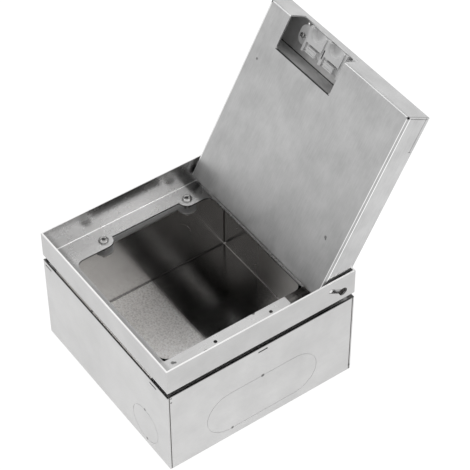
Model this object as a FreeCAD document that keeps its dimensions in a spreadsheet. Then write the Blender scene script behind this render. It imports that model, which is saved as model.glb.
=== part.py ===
"""Floor socket box: a folded steel back box, a height-adjustable cover frame and a hinged lid
with a shuttered cord outlet.  Lengths are in millimetres and angles in degrees.

Frame of the part: origin in the middle of the underside of the back box, +X to the right,
+Y to the hinge side, +Z up.  The lid stands open, as it is left while cords are plugged in."""
import FreeCAD, Part
import os

import Sketcher

doc = FreeCAD.newDocument("FloorSocketBox")
dim = doc.addObject("Spreadsheet::Sheet", "dim")

# ---------------------------------------------------------------- driving dimensions
SIZES = [
    # back box, one folded sheet with an open seam up each corner
    ("box_side", 200, "outer width and depth of the box and of the frame above it"),
    ("box_height", 100, "height of the box"),
    ("box_sheet", 1.2, "sheet of the box"),
    ("box_bend", 2.5, "outer radius of the bends round the underside"),
    ("box_seam", 1.0, "open seam between a side wall and its neighbour"),
    # knockouts, cut round except for two links each
    ("kerf", 0.3, "width of the laser cut round a knockout"),
    ("link_width", 3, "links that hold a knockout until it is knocked out"),
    ("long_length", 120, "long knockout, length"),
    ("long_height", 49.5, "long knockout, height"),
    ("long_level", 36.5, "long knockout, middle above the underside"),
    ("long_low_link", 33, "long knockout, lower link from the middle"),
    ("round_width", 39.5, "round knockout, diameter"),
    ("round_level", 27.5, "round knockout, middle above the underside"),
    ("round_inset", 38.2, "round knockout, middle from the end of its wall"),
    ("round_low_link", 1.5, "round knockout, lower link from its middle"),
    # brackets, tabbed into the walls, with the press nuts of the levelling screws
    ("bracket_sheet", 1.5, "sheet of the brackets"),
    ("bracket_drop", 5, "middle of the brackets below the rim of the box"),
    ("tab_width", 9.9, "tabs of the brackets"),
    ("tab_play", 0.05, "play round a tab in its slot"),
    ("tab_recess", 0.4, "ends of the tabs behind the outer face of the wall"),
    ("left_strip", 13.8, "width of the left bracket without its ears"),
    ("right_strip", 28.8, "width of the right bracket"),
    ("right_tab_inset", 22.6, "end tabs of the right bracket from the right face of the box"),
    ("screw_inset", 17, "levelling screws from the side faces of the box"),
    ("screw_pitch", 92, "levelling screws, front to back"),
    ("ear_radius", 9, "ears round the left levelling screws"),
    ("nut_width", 8, "press nut, body diameter"),
    ("nut_height", 5, "press nut, body height"),
    ("nut_neck", 6.4, "press nut, neck that sits in the bracket"),
    ("press_play", 0.02, "radial play of a neck in its bracket hole"),
    # levelling screws
    ("screw_width", 5, "levelling screw, shank diameter"),
    ("screw_length", 20, "levelling screw, length below the head"),
    ("thread_play", 0.075, "radial play of the screw in its nut"),
    ("head_width", 9.5, "levelling screw, head diameter"),
    ("head_height", 2.4, "levelling screw, head height"),
    ("head_dome", 0.4, "share of a screw head that is sloped off"),
    ("hole_play", 0.15, "radial play of a screw in a plain hole"),
    ("washer_width", 10.5, "retaining washer, diameter"),
    ("washer_thick", 1, "retaining washer, thickness"),
    # cover frame
    ("seat_gap", 4, "gap between the rim of the box and the frame"),
    ("frame_height", 30, "height of the frame"),
    ("frame_sheet", 1.5, "sheet of the frame"),
    ("frame_bend", 2.5, "outer radius of the bends of the frame"),
    ("flange_right", 32, "window from the right face"),
    ("flange_front", 18, "window from the front face"),
    ("flange_back", 34, "window from the back face"),
    ("window_radius", 8, "corners of the window"),
    ("pilot_width", 3.5, "small holes in the right flange"),
    ("pilot_inset", 24.7, "small holes from the right face of the frame"),
    ("pilot_back", 26.5, "rear small hole behind the middle"),
    ("pilot_front", 33, "front small hole before the middle"),
    # hinge: pins of the lid ride with their bushes in a sloping keyhole slot
    ("pin_width", 3.4, "hinge pin, diameter"),
    ("pin_play", 0.05, "radial play of the pin in its bush"),
    ("bush_wall", 0.65, "wall of the bush"),
    ("slot_play", 0.1, "radial play of the bush in the slot"),
    ("collar_width", 9, "collar of the bush, diameter"),
    ("side_play", 0.3, "play beside the collar and behind the pin's rivet head"),
    ("pin_recess", 0.1, "end of the pin behind the outer face of the frame"),
    ("rivet_width", 6, "rivet head of the pin, diameter"),
    ("rivet_height", 1, "rivet head of the pin, height"),
    ("slide_back", 10.5, "travel of the pin toward the back as the lid closes"),
    ("slide_down", 6.6, "travel of the pin downward as the lid closes"),
    ("keyhole_share", 1.3145, "middle of the keyhole, in travels of the pin from its open end"),
    ("keyhole_width", 8.6, "large end of the slot, through which the bush is put in"),
    # lid tray
    ("lid_side_gap", 2, "gap between the lid and the frame at each side"),
    ("lid_rear_gap", 3.6, "gap behind the closed lid"),
    ("lid_front_gap", 3.4, "gap before the closed lid"),
    ("lid_level", 4.2, "underside of the closed lid above the underside of the frame"),
    ("lid_sheet", 1.5, "sheet of the lid"),
    ("lid_bend", 2.5, "outer radius of the bends of the lid"),
    ("lid_seam", 0.4, "open seam at the corners of the lid"),
    ("relief_width", 2.5, "relief holes at the corners of the lid"),
    ("pin_from_rear", 11.3, "pin before the rear face of the lid"),
    ("pin_from_base", 8.9, "pin above the underside of the closed lid"),
    ("open_angle", 118.8, "opening of the lid"),
    ("rear_drop", 3, "rear wall of the lid below its rim"),
    ("rear_chamfer", 4, "length of the sloping ends of the side walls"),
    ("notch_width", 77.4, "notch for the cords, width"),
    ("notch_length", 34, "notch for the cords, from the free edge"),
    ("notch_radius", 3, "inner corners of the notch"),
    ("rim_strip", 2, "strip of the front wall that closes the notch at the rim"),
    ("outlet_place", 29.3, "middle of notch and outlet, left of the middle of the lid"),
    # bridge plate, a Z of sheet across the free end of the lid
    ("bridge_drop", 3.3, "underside of the bridge plate below the rim of the lid"),
    ("bridge_setback", 0.5, "web of the bridge behind the inner edge of the notch"),
    ("bridge_foot", 10, "foot of the bridge, without its bend"),
    ("bridge_bend", 2, "outer radius of the bends of the bridge"),
    ("exit_width", 16, "cord exits, width"),
    ("exit_depth", 10, "cord exits, depth"),
    ("exit_pitch", 25, "distance between the cord exits"),
    ("drain_width", 2.5, "small hole in the bridge plate"),
    ("drain_place", 64, "small hole, left of the middle"),
    ("drain_inset", 3.9, "small hole from the front edge of the bridge plate"),
    # cord outlet, a moulding with two channels for the shutters
    ("base_thick", 1.6, "base of the outlet"),
    ("base_length", 25, "base of the outlet, front to back"),
    ("base_inset", 0.5, "base of the outlet from the front edge of the bridge plate"),
    ("cheek_thick", 2.7, "outer cheeks of the channels"),
    ("cheek_rise", 4.4, "cheeks and divider above the base"),
    ("channel_play", 0.3, "play round a shutter in its channel"),
    ("divider_slot", 1.2, "slot in the top of the divider, width"),
    ("divider_slot_length", 9, "slot in the top of the divider, length"),
    ("divider_slot_depth", 3, "slot in the top of the divider, depth"),
    ("ear_thick", 3, "ears of the outlet, thickness"),
    ("ear_length", 19, "ears of the outlet, front to back"),
    ("ear_inset", 3.5, "ears of the outlet from the front edge of the bridge plate"),
    ("ear_reach", 12, "ears of the outlet beyond the cheeks"),
    ("ear_round", 7.5, "corners of the ears"),
    ("fixing_reach", 5.5, "outlet screws beyond the cheeks"),
    ("fixing_inset", 15, "outlet screws from the front edge of the bridge plate"),
    ("fixing_width", 3, "outlet screw, shank diameter"),
    ("fixing_length", 5, "outlet screw, length below the head"),
    ("fixing_head", 5.6, "outlet screw, head diameter"),
    ("fixing_head_height", 1.5, "outlet screw, head height"),
    ("counterbore_play", 0.3, "radial play round the head of an outlet screw"),
    ("counterbore_depth", 1.2, "depth of the counterbores in the ears"),
    # cord shutters
    ("shutter_width", 21, "shutter, width"),
    ("shutter_length", 22, "shutter, length"),
    ("shutter_thick", 2, "shutter, thickness of its plate"),
    ("shutter_rise", 3.6, "front block of the shutter above its plate"),
    ("block_length", 14, "front block of the shutter, length"),
    ("tongue_reach", 0.8, "tongues beyond the sides of the shutter"),
    ("tongue_length", 19, "tongues of the shutter, length"),
    ("scoop_radius", 8.5, "scoop in the front block, radius at its crest"),
    ("scoop_depth", 4, "scoop in the front block, depth"),
    ("scoop_slope", 26, "slope of the scoop's wall"),
    ("grip_slot_length", 13, "slot behind the block, across the shutter"),
    ("grip_slot_width", 1.2, "slot behind the block, front to back"),
    ("thumb_width", 13, "thumb pad, across"),
    ("thumb_length", 6, "thumb pad, front to back"),
    ("thumb_rise", 4.4, "thumb pad above the plate of the shutter"),
    ("rib_width", 0.9, "grooves between the ribs of the thumb pad"),
    ("rib_depth", 0.8, "depth of those grooves"),
]
for row, (name, size, note) in enumerate(SIZES, start=1):
    dim.set("A%d" % row, name)
    dim.set("B%d" % row, str(size))
    dim.set("C%d" % row, note)
    dim.setAlias("B%d" % row, name)
doc.recompute()

# ---------------------------------------------------------------- sizes that follow
BOX_IN = "(dim.box_side/2 - dim.box_sheet)"
BRACKET_Z = "(dim.box_height - dim.bracket_drop - dim.bracket_sheet/2)"
FRAME_Z = "(dim.box_height + dim.seat_gap)"
FRAME_IN = "(dim.box_side/2 - dim.frame_sheet)"
SCREW_X = "(dim.box_side/2 - dim.screw_inset)"
SCREW_Y = "(dim.screw_pitch/2)"
ROUND_X = "(dim.box_side/2 - dim.round_inset)"
RIGHT_TAB_X = "(dim.box_side/2 - dim.right_tab_inset)"
LEFT_TAB_X = "(dim.left_strip/2 - dim.box_side/2 + dim.box_sheet)"
PILOT_X = "(dim.box_side/2 - dim.pilot_inset)"
THREAD = "(dim.screw_width/2 + dim.thread_play)"
BUSH = "(dim.pin_width/2 + dim.pin_play + dim.bush_wall)"

LID_HALF = "(dim.box_side/2 - dim.frame_sheet - dim.lid_side_gap)"
LID_IN = "(dim.box_side/2 - dim.frame_sheet - dim.lid_side_gap - dim.lid_sheet)"
LID_LENGTH = "(dim.box_side - 2*dim.frame_sheet - dim.lid_rear_gap - dim.lid_front_gap)"
LID_DEPTH = "(dim.frame_height - dim.lid_level)"
OPEN_Y = ("(dim.box_side/2 - dim.frame_sheet - dim.lid_rear_gap - dim.pin_from_rear"
          " - dim.slide_back)")
OPEN_Z = "(dim.lid_level + dim.pin_from_base + dim.slide_down)"

# Pieces of the lid are drawn as it lies closed: origin at its rear bottom edge, the free edge
# at minus LID_LENGTH along Y and the underside at Z = 0.
FREE = "(-" + LID_LENGTH + ")"
BRIDGE_LOW = "(" + LID_DEPTH + " - dim.bridge_drop)"
BRIDGE_FRONT = "(" + FREE + " + dim.lid_sheet)"
BRIDGE_BACK = "(" + FREE + " + dim.notch_length + dim.bridge_setback)"
BASE_FRONT = "(" + BRIDGE_FRONT + " + dim.base_inset)"
BASE_BACK = "(" + BASE_FRONT + " + dim.base_length)"
BASE_LOW = "(" + BRIDGE_LOW + " - dim.base_thick)"
CHEEK_LOW = "(" + BASE_LOW + " - dim.cheek_rise)"
CHANNEL = "(dim.shutter_width/2 + dim.channel_play)"
CHEEK_IN = "(dim.exit_pitch/2 + dim.shutter_width/2 + dim.channel_play)"
CHEEK_OUT = "(dim.exit_pitch/2 + dim.shutter_width/2 + dim.channel_play + dim.cheek_thick)"
FIXING_X = "(" + CHEEK_OUT + " + dim.fixing_reach)"
FIXING_Y = "(" + BRIDGE_FRONT + " + dim.fixing_inset)"
EXIT_Y = "(" + BRIDGE_FRONT + " + dim.exit_depth - dim.exit_width/2)"
SHUTTER_FRONT = "(" + BRIDGE_FRONT + " + 2*dim.base_inset)"
SHUTTER_BACK = "(" + SHUTTER_FRONT + " + dim.shutter_length)"
PLATE_LOW = "(" + BASE_LOW + " - dim.channel_play - dim.shutter_thick)"
BLOCK_BACK = "(" + SHUTTER_FRONT + " + dim.block_length)"
THUMB_FRONT = "(" + SHUTTER_BACK + " - dim.thumb_length)"
TONGUE_FRONT = "(" + SHUTTER_BACK + " - dim.tongue_length)"
SIDES = {"left": "-", "right": ""}
ENDS = {"front": "-", "back": ""}

TOLERANCE = 0.001  # how far an edge may lie from its expected place
PAST = " + 1"  # how far a cut runs past the face that it opens
BEFORE = " - 1"


# ---------------------------------------------------------------- drawing helpers
def number(expression):
    """The present value of a sheet expression."""
    return float(dim.evalExpression(expression))


def new_body(label, x="0", y="0", z="0", turn="0"):
    """A body of its own, set at x, y, z and turned about Z."""
    body = doc.addObject("PartDesign::Body", label)
    body.Label = label
    body.setExpression("Placement.Base.x", x)
    body.setExpression("Placement.Base.y", y)
    body.setExpression("Placement.Base.z", z)
    body.setExpression("Placement.Rotation.Angle", turn)
    return body


def lid_body(label):
    """A body drawn in the closed lid and swung open about the hinge pins."""
    body = doc.addObject("PartDesign::Body", label)
    body.Label = label
    body.setExpression("Placement.Base.y", OPEN_Y + " + cos(dim.open_angle)*dim.pin_from_rear"
                       " - sin(dim.open_angle)*dim.pin_from_base")
    body.setExpression("Placement.Base.z", OPEN_Z + " + " + FRAME_Z
                       + " - sin(dim.open_angle)*dim.pin_from_rear"
                       " - cos(dim.open_angle)*dim.pin_from_base")
    body.setExpression("Placement.Rotation.Axis.x", "1")
    body.setExpression("Placement.Rotation.Axis.z", "0")
    body.setExpression("Placement.Rotation.Angle", "-dim.open_angle")
    return body


def draw(body, plane, name, offset="0"):
    """An empty sketch on one of the body's origin planes, offset along its normal.

    XY is drawn as (x, y), XZ as (x, z) with its normal along -Y, YZ as (y, z)."""
    sketch = body.newObject("Sketcher::SketchObject", name)
    role = plane + "_Plane"
    origin = [item for item in body.Origin.OriginFeatures if item.Role == role][0]
    sketch.AttachmentSupport = [(origin, "")]
    sketch.MapMode = "FlatFace"
    sketch.setExpression("AttachmentOffset.Base.z", offset)
    return sketch


def point(x, y):
    return FreeCAD.Vector(number(x), number(y), 0)


def tie(sketch, geometry, end, x, y):
    """Ties a point of the sketch to its sheet expressions."""
    for kind, expression in (("DistanceX", x), ("DistanceY", y)):
        limit = Sketcher.Constraint(kind, -1, 1, geometry, end, number(expression))
        index = sketch.addConstraint(limit)
        sketch.setExpression("Constraints[%d]" % index, expression)


def tie_radius(sketch, geometry, radius):
    limit = Sketcher.Constraint("Radius", geometry, number(radius))
    index = sketch.addConstraint(limit)
    sketch.setExpression("Constraints[%d]" % index, radius)


def polygon(sketch, corners):
    """A closed outline of straight lines."""
    first = len(sketch.Geometry)
    count = len(corners)
    for i in range(count):
        line = Part.LineSegment(point(*corners[i]), point(*corners[(i + 1) % count]))
        sketch.addGeometry(line, False)
    for i in range(count):
        following = first + (i + 1) % count
        sketch.addConstraint(Sketcher.Constraint("Coincident", first + i, 2, following, 1))
    for i in range(count):
        tie(sketch, first + i, 1, *corners[i])


def rectangle(sketch, left, right, low, high):
    polygon(sketch, [(left, low), (right, low), (right, high), (left, high)])


def disc(sketch, x, y, radius):
    circle = Part.Circle(point(x, y), FreeCAD.Vector(0, 0, 1), number(radius))
    index = sketch.addGeometry(circle, False)
    tie(sketch, index, 3, x, y)
    tie_radius(sketch, index, radius)


def screw_discs(sketch, radius):
    """A disc at each of the four levelling screws."""
    for side in SIDES.values():
        for end in ENDS.values():
            disc(sketch, side + SCREW_X, end + SCREW_Y, radius)


def pad(body, sketch, length, flip=False, both=False):
    """Raises the sketch along its normal, or the other way, or to both sides."""
    feature = body.newObject("PartDesign::Pad", sketch.Name + "Pad")
    feature.Profile = sketch
    feature.setExpression("Length", length)
    feature.Reversed = flip
    feature.Midplane = both
    return feature


def cut(body, sketch, length=None, flip=False):
    """Cuts the sketch along its normal (flip: against it), or right through both ways."""
    doc.recompute()
    before = body.Shape.Volume
    feature = body.newObject("PartDesign::Pocket", sketch.Name + "Cut")
    feature.Profile = sketch
    if length is None:
        feature.Type = "ThroughAll"
        feature.Midplane = True
    else:
        feature.setExpression("Length", length)
        feature.Reversed = not flip
    doc.recompute()
    if not body.Shape.Volume < before - TOLERANCE:
        raise RuntimeError(body.Label + ": " + feature.Name + " cuts nothing")
    return feature


def soften(body, kind, size, wanted):
    """Fillets or chamfers those edges of the body for which wanted(box of the edge) holds."""
    doc.recompute()
    base = body.Tip
    names = []
    for index, edge in enumerate(base.Shape.Edges, start=1):
        if wanted(edge.BoundBox):
            names.append("Edge%d" % index)
    if not names:
        raise RuntimeError(body.Label + ": no edge to soften")
    feature = body.newObject("PartDesign::" + kind, base.Name + kind)
    feature.Base = (base, names)
    feature.setExpression("Radius" if kind == "Fillet" else "Size", size)
    doc.recompute()
    return feature


def near(a, b):
    return abs(a - b) < TOLERANCE


def flat_at(box, height):
    """True for an edge that lies level at a height."""
    return near(box.ZMin, height) and near(box.ZMax, height)


def upright_at(box, x, y):
    """True for a vertical edge at x, y."""
    return near(box.XMin, x) and near(box.XMax, x) and near(box.YMin, y) and near(box.YMax, y)


def hollow(body, sheet):
    """Leaves a tray of the given sheet, open at the top."""
    doc.recompute()
    base = body.Tip
    top = base.Shape.BoundBox.ZMax
    names = []
    for index, face in enumerate(base.Shape.Faces, start=1):
        if near(face.BoundBox.ZMin, top):
            names.append("Face%d" % index)
    feature = body.newObject("PartDesign::Thickness", base.Name + "Shell")
    feature.Base = (base, names)
    feature.setExpression("Value", sheet)
    feature.Reversed = True
    doc.recompute()
    return feature


# ---------------------------------------------------------------- back box
def back_box():
    """Folded tray with knockout holes, corner seams and slots for the bracket tabs."""
    body = new_body("back_box_shell")
    block = draw(body, "XY", "BoxBlock")
    rectangle(block, "-dim.box_side/2", "dim.box_side/2", "-dim.box_side/2", "dim.box_side/2")
    pad(body, block, "dim.box_height")
    soften(body, "Fillet", "dim.box_bend", lambda edge: flat_at(edge, 0))
    hollow(body, "dim.box_sheet")

    # the side walls stop short of the front and back walls
    seams = draw(body, "YZ", "BoxSeams")
    for sign in ENDS.values():
        near_edge = sign + BOX_IN
        far_edge = sign + "(" + BOX_IN + " - dim.box_seam)"
        rectangle(seams, near_edge, far_edge, "dim.box_bend", "dim.box_height" + PAST)
    cut(body, seams)

    # slots for the bracket tabs
    slot_half = "(dim.tab_width/2 + dim.tab_play)"
    low = BRACKET_Z + " - dim.tab_play"
    high = BRACKET_Z + " + dim.bracket_sheet + dim.tab_play"
    side_slots = draw(body, "YZ", "SideSlots")
    rectangle(side_slots, "-" + slot_half, slot_half, low, high)
    cut(body, side_slots)
    end_slots = draw(body, "XZ", "EndSlots")
    for middle in (LEFT_TAB_X, RIGHT_TAB_X):
        rectangle(end_slots, middle + " - " + slot_half, middle + " + " + slot_half, low, high)
    cut(body, end_slots)

    # holes that the knockouts fill
    long_holes = draw(body, "YZ", "LongHoles")
    stadium(long_holes, "dim.long_length/2", "dim.long_height/2")
    cut(body, long_holes)
    for end, sign in ENDS.items():
        hole = draw(body, "XZ", "RoundHole" + end.title(), "0")
        place = ("" if end == "front" else "-") + ROUND_X
        disc(hole, place, "dim.round_level", "dim.round_width/2")
        cut(body, hole, "dim.box_side/2", flip=(end == "back"))
    return body


def stadium(sketch, half_length, half_height):
    """Long knockout outline in the YZ plane: two half circles joined by straight lines."""
    centre = "(" + half_length + " - " + half_height + ")"
    level = "dim.long_level"
    first = len(sketch.Geometry)
    up = FreeCAD.Vector(0, 0, 1)
    radius = number(half_height)
    quarter = FreeCAD.Units.Quantity("90 deg").getValueAs("rad").Value
    back = Part.Circle(point(centre, level), up, radius)
    front = Part.Circle(point("-" + centre, level), up, radius)
    sketch.addGeometry(Part.ArcOfCircle(back, -quarter, quarter), False)
    sketch.addGeometry(Part.ArcOfCircle(front, quarter, 3 * quarter), False)
    reach = FreeCAD.Vector(number(centre), 0, 0)
    rise = FreeCAD.Vector(0, radius, 0)
    middle = point("0", level)
    sketch.addGeometry(Part.LineSegment(middle + reach + rise, middle - reach + rise), False)
    sketch.addGeometry(Part.LineSegment(middle - reach - rise, middle + reach - rise), False)
    for one, end_one, other, end_other in ((0, 2, 2, 1), (2, 2, 1, 1), (1, 2, 3, 1), (3, 2, 0, 1)):
        join = Sketcher.Constraint("Tangent", first + one, end_one, first + other, end_other)
        sketch.addConstraint(join)
    tie(sketch, first, 3, centre, level)
    tie(sketch, first + 1, 3, "-" + centre, level)
    tie_radius(sketch, first, half_height)


def long_knockout(label, turn):
    """Blank of the long hole, held by a link above and one below."""
    body = new_body(label, turn=turn)
    blank = draw(body, "YZ", label + "Blank", BOX_IN)
    stadium(blank, "(dim.long_length/2 - dim.kerf)", "(dim.long_height/2 - dim.kerf)")
    pad(body, blank, "dim.box_sheet")
    links = draw(body, "YZ", label + "Links", BOX_IN)
    half = "dim.link_width/2"
    middle = "dim.long_level"
    rectangle(links, "-" + half, half, middle, middle + " + dim.long_height/2")
    pad(body, links, "dim.box_sheet")
    low = draw(body, "YZ", label + "LowLink", BOX_IN)
    rectangle(low, "-dim.long_low_link - " + half, "-dim.long_low_link + " + half,
              middle + " - dim.long_height/2", middle)
    pad(body, low, "dim.box_sheet")
    return body


def round_knockout(label, turn):
    """Blank of the round hole, held by a link above and one below."""
    body = new_body(label, turn=turn)
    blank = draw(body, "XZ", label + "Blank", BOX_IN)
    disc(blank, ROUND_X, "dim.round_level", "(dim.round_width/2 - dim.kerf)")
    pad(body, blank, "dim.box_sheet")
    half = "dim.link_width/2"
    upper = draw(body, "XZ", label + "Link", BOX_IN)
    top = "dim.round_level + sqrt((dim.round_width/2)^2 - (dim.link_width/2)^2)"
    rectangle(upper, ROUND_X + " - " + half, ROUND_X + " + " + half,
              "dim.round_level", top)
    pad(body, upper, "dim.box_sheet")
    lower = draw(body, "XZ", label + "LowLink", BOX_IN)
    bottom = ("dim.round_level - sqrt((dim.round_width/2)^2"
              " - (dim.round_low_link + dim.link_width/2)^2)")
    rectangle(lower, ROUND_X + " + dim.round_low_link - " + half,
              ROUND_X + " + dim.round_low_link + " + half, bottom, "dim.round_level")
    pad(body, lower, "dim.box_sheet")
    return body


# ---------------------------------------------------------------- brackets and press nuts
def bracket(side):
    """Strip along a side wall, tabbed into three walls, with a hole for each press nut."""
    sign = SIDES[side]
    width = "dim." + side + "_strip"
    tab_x = LEFT_TAB_X if side == "left" else RIGHT_TAB_X
    tab_end = "(dim.box_side/2 - dim.tab_recess)"
    half = "dim.tab_width/2"
    body = new_body("bracket_" + side, z=BRACKET_Z)
    strip = draw(body, "XY", side + "Strip")
    rectangle(strip, sign + BOX_IN, sign + "(" + BOX_IN + " - " + width + ")",
              "-" + BOX_IN, BOX_IN)
    pad(body, strip, "dim.bracket_sheet")
    side_tab = draw(body, "XY", side + "SideTab")
    rectangle(side_tab, sign + BOX_IN, sign + tab_end, "-" + half, half)
    pad(body, side_tab, "dim.bracket_sheet")
    end_tabs = draw(body, "XY", side + "EndTabs")
    rectangle(end_tabs, tab_x + " - " + half, tab_x + " + " + half, "-" + tab_end, tab_end)
    pad(body, end_tabs, "dim.bracket_sheet")
    if side == "left":
        ears = draw(body, "XY", "BracketEars")
        for end in ENDS.values():
            disc(ears, "-" + SCREW_X, end + SCREW_Y, "dim.ear_radius")
        pad(body, ears, "dim.bracket_sheet")
    holes = draw(body, "XY", side + "NutHoles")
    for end in ENDS.values():
        disc(holes, sign + SCREW_X, end + SCREW_Y, "dim.nut_neck/2 + dim.press_play")
    cut(body, holes)
    return body


def press_nuts():
    """Round nuts below the brackets, each with its neck pressed into the bracket's hole."""
    body = new_body("press_nuts", z=BRACKET_Z)
    barrels = draw(body, "XY", "NutBarrels")
    screw_discs(barrels, "dim.nut_width/2")
    pad(body, barrels, "dim.nut_height", flip=True)
    necks = draw(body, "XY", "NutNecks")
    screw_discs(necks, "dim.nut_neck/2")
    pad(body, necks, "dim.bracket_sheet")
    bores = draw(body, "XY", "NutBores")
    screw_discs(bores, THREAD)
    cut(body, bores)
    return body


# ---------------------------------------------------------------- cover frame and its screws
def cover_frame():
    """Folded frame: walls, an inner flange with the window, and the keyhole slots."""
    body = new_body("cover_frame", z=FRAME_Z)
    block = draw(body, "XY", "FrameBlock")
    rectangle(block, "-dim.box_side/2", "dim.box_side/2", "-dim.box_side/2", "dim.box_side/2")
    pad(body, block, "dim.frame_height")
    soften(body, "Fillet", "dim.frame_bend", lambda edge: flat_at(edge, 0))
    hollow(body, "dim.frame_sheet")

    # window: its left edge runs between the ears of the left levelling screws
    right = "dim.box_side/2 - dim.flange_right"
    front = "dim.flange_front - dim.box_side/2"
    back = "dim.box_side/2 - dim.flange_back"
    recess = "-" + SCREW_X
    left = "dim.ear_radius - " + SCREW_X
    window = draw(body, "XY", "Window")
    polygon(window, [(right, front), (right, back), (left, back), (left, SCREW_Y),
                     (recess, SCREW_Y), (recess, "-" + SCREW_Y), (left, "-" + SCREW_Y),
                     (left, front)])
    cut(body, window, "dim.frame_bend + dim.frame_sheet")
    corners = [(number(x), number(y)) for x in (left, right) for y in (front, back)]
    soften(body, "Fillet", "dim.window_radius",
           lambda edge: any(upright_at(edge, x, y) for x, y in corners))
    ears = draw(body, "XY", "FrameEars")
    for end in ENDS.values():
        disc(ears, "-" + SCREW_X, end + SCREW_Y, "dim.ear_radius")
    pad(body, ears, "dim.frame_sheet")

    holes = draw(body, "XY", "ScrewHoles")
    screw_discs(holes, "dim.screw_width/2 + dim.hole_play")
    disc(holes, PILOT_X, "dim.pilot_back", "dim.pilot_width/2")
    disc(holes, PILOT_X, "-dim.pilot_front", "dim.pilot_width/2")
    cut(body, holes, "dim.frame_bend + dim.frame_sheet")

    # sloping slots for the hinge bushes, each with a large end to put the bush in
    keyhole_y = OPEN_Y + " + dim.slide_back*dim.keyhole_share"
    keyhole_z = OPEN_Z + " - dim.slide_down*dim.keyhole_share"
    large = draw(body, "YZ", "Keyholes")
    disc(large, keyhole_y, keyhole_z, "dim.keyhole_width/2")
    cut(body, large)
    slots = draw(body, "YZ", "PinSlots")
    slot_radius = BUSH + " + dim.slot_play"
    run = "sqrt(dim.slide_back^2 + dim.slide_down^2)"
    across = "(" + slot_radius + ")*dim.slide_down/" + run
    along = "(" + slot_radius + ")*dim.slide_back/" + run
    polygon(slots, [(OPEN_Y + " + " + across, OPEN_Z + " + " + along),
                    (OPEN_Y + " - " + across, OPEN_Z + " - " + along),
                    (keyhole_y + " - " + across, keyhole_z + " - " + along),
                    (keyhole_y + " + " + across, keyhole_z + " + " + along)])
    cut(body, slots)
    slot_ends = draw(body, "YZ", "SlotEnds")
    disc(slot_ends, OPEN_Y, OPEN_Z, slot_radius)
    cut(body, slot_ends)
    return body


def levelling_screws():
    """Low pan heads on the flange and shanks down through the press nuts."""
    body = new_body("levelling_screws", z=FRAME_Z + " + dim.frame_sheet")
    heads = draw(body, "XY", "ScrewHeads")
    screw_discs(heads, "dim.head_width/2")
    pad(body, heads, "dim.head_height")
    top = number("dim.head_height")
    soften(body, "Chamfer", "dim.head_height*dim.head_dome", lambda edge: flat_at(edge, top))
    shanks = draw(body, "XY", "ScrewShanks")
    screw_discs(shanks, "dim.screw_width/2")
    pad(body, shanks, "dim.screw_length", flip=True)
    return body


def screw_washers():
    """Retaining washers under the flange, which keep the screws in the frame."""
    body = new_body("screw_washers", z=FRAME_Z)
    rings = draw(body, "XY", "WasherRings")
    screw_discs(rings, "dim.washer_width/2")
    screw_discs(rings, "dim.screw_width/2 + dim.press_play")
    pad(body, rings, "dim.washer_thick", flip=True)
    return body


# ---------------------------------------------------------------- hinge
def hinge_bush(side):
    """Collar between lid and frame, with a sleeve in the slot and a bore for the pin."""
    label = "hinge_bush_" + side
    turn = "180" if side == "left" else "0"
    body = new_body(label, y=OPEN_Y, z=FRAME_Z + " + " + OPEN_Z, turn=turn)
    collar = draw(body, "YZ", label + "Collar", LID_HALF + " + dim.side_play")
    disc(collar, "0", "0", "dim.collar_width/2")
    pad(body, collar, "dim.lid_side_gap - 2*dim.side_play")
    sleeve = draw(body, "YZ", label + "Sleeve", FRAME_IN + " - dim.side_play")
    disc(sleeve, "0", "0", BUSH)
    pad(body, sleeve, "dim.frame_sheet + dim.side_play - dim.pin_recess")
    bore = draw(body, "YZ", label + "Bore")
    disc(bore, "0", "0", "dim.pin_width/2 + dim.pin_play")
    cut(body, bore)
    return body


def hinge_pin(side):
    """Pin riveted in the side wall of the lid, its head inside."""
    label = "hinge_pin_" + side
    turn = "180" if side == "left" else "0"
    body = new_body(label, y=OPEN_Y, z=FRAME_Z + " + " + OPEN_Z, turn=turn)
    shank = draw(body, "YZ", label + "Shank", LID_IN)
    disc(shank, "0", "0", "dim.pin_width/2")
    pad(body, shank, "dim.lid_sheet + dim.lid_side_gap + dim.frame_sheet - dim.pin_recess")
    head = draw(body, "YZ", label + "Head", LID_IN)
    disc(head, "0", "0", "dim.rivet_width/2")
    pad(body, head, "dim.rivet_height", flip=True)
    return body


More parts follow.
